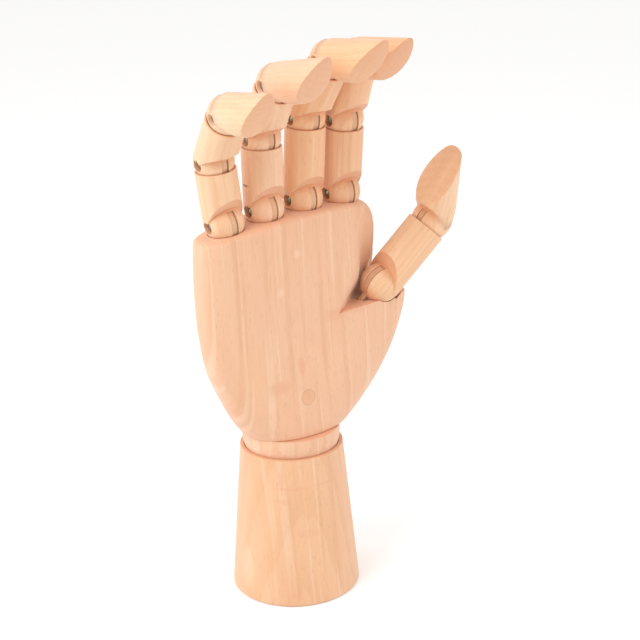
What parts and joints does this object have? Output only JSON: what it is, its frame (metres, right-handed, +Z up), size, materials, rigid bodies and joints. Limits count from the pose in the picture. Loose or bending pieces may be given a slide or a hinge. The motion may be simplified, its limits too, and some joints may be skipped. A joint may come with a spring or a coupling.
{
  "type": "wooden hand mannequin",
  "caption": "Life-size wooden artist's hand on a tapered forearm, with riveted ball-and-tongue finger joints, jointed thumb and a ball wrist; fingers bend, lean sideways and hold their pose.",
  "frame": {"origin": "middle of the forearm's flat underside", "axes": "+Z up along the forearm, -Y the way the palm faces, +X towards the thumb's side"},
  "size_m": [0.1125, 0.0802, 0.2319],
  "materials": {
    "beech_forearm": "sanded, clear matt lacquer",
    "beech_palm": "sanded, clear matt lacquer",
    "beech_finger": "sanded, clear matt lacquer",
    "beech_tongue": "raw",
    "beech_plug": "sanded, end grain",
    "rivet_steel": "dull",
    "spring_steel": "oiled",
    "washer_brass": "dull"
  },
  "bodies": {
    "forearm": {"forearm": "beech_forearm", "wrist_spring": "spring_steel", "wrist_washer": "spring_steel"},
    "wrist_stud": {"wrist_stud": "spring_steel", "wrist_nut": "spring_steel"},
    "wrist_cup_washer": {"wrist_cup_washer": "washer_brass"},
    "palm": {"palm": "beech_palm", "wrist_ball": "beech_palm", "palm_plug": "beech_plug", "wrist_cross_dowel": "beech_tongue"},
    "little_tongue": {"little_knuckle_tongue": "beech_tongue", "little_tail_pin": "spring_steel"},
    "little_proximal": {"little_proximal": "beech_finger", "little_knuckle_rivet": "rivet_steel", "little_middle_tongue": "beech_tongue"},
    "little_middle": {"little_middle": "beech_finger", "little_middle_rivet": "rivet_steel", "little_end_tongue": "beech_tongue"},
    "little_distal": {"little_distal": "beech_finger", "little_end_rivet": "rivet_steel"},
    "ring_tongue": {"ring_knuckle_tongue": "beech_tongue", "ring_tail_pin": "spring_steel"},
    "ring_proximal": {"ring_proximal": "beech_finger", "ring_knuckle_rivet": "rivet_steel", "ring_middle_tongue": "beech_tongue"},
    "ring_middle": {"ring_middle": "beech_finger", "ring_middle_rivet": "rivet_steel", "ring_end_tongue": "beech_tongue"},
    "ring_distal": {"ring_distal": "beech_finger", "ring_end_rivet": "rivet_steel"},
    "middle_tongue": {"middle_knuckle_tongue": "beech_tongue", "middle_tail_pin": "spring_steel"},
    "middle_proximal": {"middle_proximal": "beech_finger", "middle_knuckle_rivet": "rivet_steel", "middle_middle_tongue": "beech_tongue"},
    "middle_middle": {"middle_middle": "beech_finger", "middle_middle_rivet": "rivet_steel", "middle_end_tongue": "beech_tongue"},
    "middle_distal": {"middle_distal": "beech_finger", "middle_end_rivet": "rivet_steel"},
    "index_tongue": {"index_knuckle_tongue": "beech_tongue", "index_tail_pin": "spring_steel"},
    "index_proximal": {"index_proximal": "beech_finger", "index_knuckle_rivet": "rivet_steel", "index_middle_tongue": "beech_tongue"},
    "index_middle": {"index_middle": "beech_finger", "index_middle_rivet": "rivet_steel", "index_end_tongue": "beech_tongue"},
    "index_distal": {"index_distal": "beech_finger", "index_end_rivet": "rivet_steel"},
    "thumb_tongue": {"thumb_knuckle_tongue": "beech_tongue", "thumb_tail_pin": "spring_steel"},
    "thumb_proximal": {"thumb_proximal": "beech_finger", "thumb_knuckle_rivet": "rivet_steel", "thumb_end_tongue": "beech_tongue"},
    "thumb_distal": {"thumb_distal": "beech_finger", "thumb_end_rivet": "rivet_steel"}
  },
  "joints": [
    {"name": "wrist_turn", "type": "hinge", "parent": "forearm", "child": "wrist_stud", "pos_m": [0, 0, 0.0685], "axis": [0, 0, 1], "range_deg": [-90, 90]},
    {"name": "wrist_bend", "type": "hinge", "parent": "wrist_stud", "child": "wrist_cup_washer", "pos_m": [0, 0, 0.0685], "axis": [1, 0, 0], "range_deg": [-15, 15]},
    {"name": "wrist_sway", "type": "hinge", "parent": "wrist_cup_washer", "child": "palm", "pos_m": [0, 0, 0.0685], "axis": [0, 1, 0], "range_deg": [-10, 10]},
    {"name": "little_splay", "type": "hinge", "parent": "palm", "child": "little_tongue", "pos_m": [-0.02715, 0, 0.16103], "axis": [0, 1, 0], "range_deg": [-1.5, 6.5]},
    {"name": "little_knuckle", "type": "hinge", "parent": "little_tongue", "child": "little_proximal", "pos_m": [-0.02715, 0, 0.16103], "axis": [0.9914, 0, 0.1305], "range_deg": [-8.5, 71.5]},
    {"name": "little_middle_joint", "type": "hinge", "parent": "little_proximal", "child": "little_middle", "pos_m": [-0.03041, -0.00022, 0.18581], "axis": [0.9914, 0, 0.1305], "range_deg": [-44.5, 35.5]},
    {"name": "little_end_joint", "type": "hinge", "parent": "little_middle", "child": "little_distal", "pos_m": [-0.0331, -0.01574, 0.20624], "axis": [0.9914, 0, 0.1305], "range_deg": [-52.5, 27.5]},
    {"name": "ring_splay", "type": "hinge", "parent": "palm", "child": "ring_tongue", "pos_m": [-0.00865, 0, 0.16303], "axis": [0, 1, 0], "range_deg": [-3, 4]},
    {"name": "ring_knuckle", "type": "hinge", "parent": "ring_tongue", "child": "ring_proximal", "pos_m": [-0.00865, 0, 0.16303], "axis": [0.9998, 0, 0.0175], "range_deg": [-9, 71]},
    {"name": "ring_middle_joint", "type": "hinge", "parent": "ring_proximal", "child": "ring_middle", "pos_m": [-0.00914, -0.00049, 0.19112], "axis": [0.9998, 0, 0.0175], "range_deg": [-36.2, 43.8]},
    {"name": "ring_end_joint", "type": "hinge", "parent": "ring_middle", "child": "ring_distal", "pos_m": [-0.00953, -0.01303, 0.21355], "axis": [0.9998, 0, 0.0175], "range_deg": [-57.8, 22.2]},
    {"name": "middle_splay", "type": "hinge", "parent": "palm", "child": "middle_tongue", "pos_m": [0.00985, 0, 0.1637], "axis": [0, 1, 0], "range_deg": [-4, 0.8]},
    {"name": "middle_knuckle", "type": "hinge", "parent": "middle_tongue", "child": "middle_proximal", "pos_m": [0.00985, 0, 0.1637], "axis": [0.9997, 0, -0.0244], "range_deg": [-11.8, 68.2]},
    {"name": "middle_middle_joint", "type": "hinge", "parent": "middle_proximal", "child": "middle_middle", "pos_m": [0.01064, -0.00215, 0.19602], "axis": [0.9997, 0, -0.0244], "range_deg": [-37.9, 42.1]},
    {"name": "middle_end_joint", "type": "hinge", "parent": "middle_middle", "child": "middle_distal", "pos_m": [0.01123, -0.01829, 0.22022], "axis": [0.9997, 0, -0.0244], "range_deg": [-58, 22]},
    {"name": "index_splay", "type": "hinge", "parent": "palm", "child": "index_tongue", "pos_m": [0.02835, 0, 0.16305], "axis": [0, 1, 0], "range_deg": [-0.8, 4]},
    {"name": "index_knuckle", "type": "hinge", "parent": "index_tongue", "child": "index_proximal", "pos_m": [0.02835, 0, 0.16305], "axis": [1, 0, 0], "range_deg": [-13.9, 66.1]},
    {"name": "index_middle_joint", "type": "hinge", "parent": "index_proximal", "child": "index_middle", "pos_m": [0.02835, -0.00309, 0.19299], "axis": [1, 0, 0], "range_deg": [-23.1, 56.9]},
    {"name": "index_end_joint", "type": "hinge", "parent": "index_middle", "child": "index_distal", "pos_m": [0.02835, -0.01259, 0.21773], "axis": [1, 0, 0], "range_deg": [-70.4, 9.6]},
    {"name": "thumb_splay", "type": "hinge", "parent": "palm", "child": "thumb_tongue", "pos_m": [0.0404, -0.009, 0.1237], "axis": [0.7613, 0.2444, -0.6006], "range_deg": [-4, 4]},
    {"name": "thumb_knuckle", "type": "hinge", "parent": "thumb_tongue", "child": "thumb_proximal", "pos_m": [0.0404, -0.009, 0.1237], "axis": [-0.0476, 0.9448, 0.3241], "range_deg": [-50, 0]},
    {"name": "thumb_end_joint", "type": "hinge", "parent": "thumb_proximal", "child": "thumb_distal", "pos_m": [0.06174, -0.0162, 0.14782], "axis": [-0.0476, 0.9448, 0.3241], "range_deg": [-33, 47]}
  ]
}
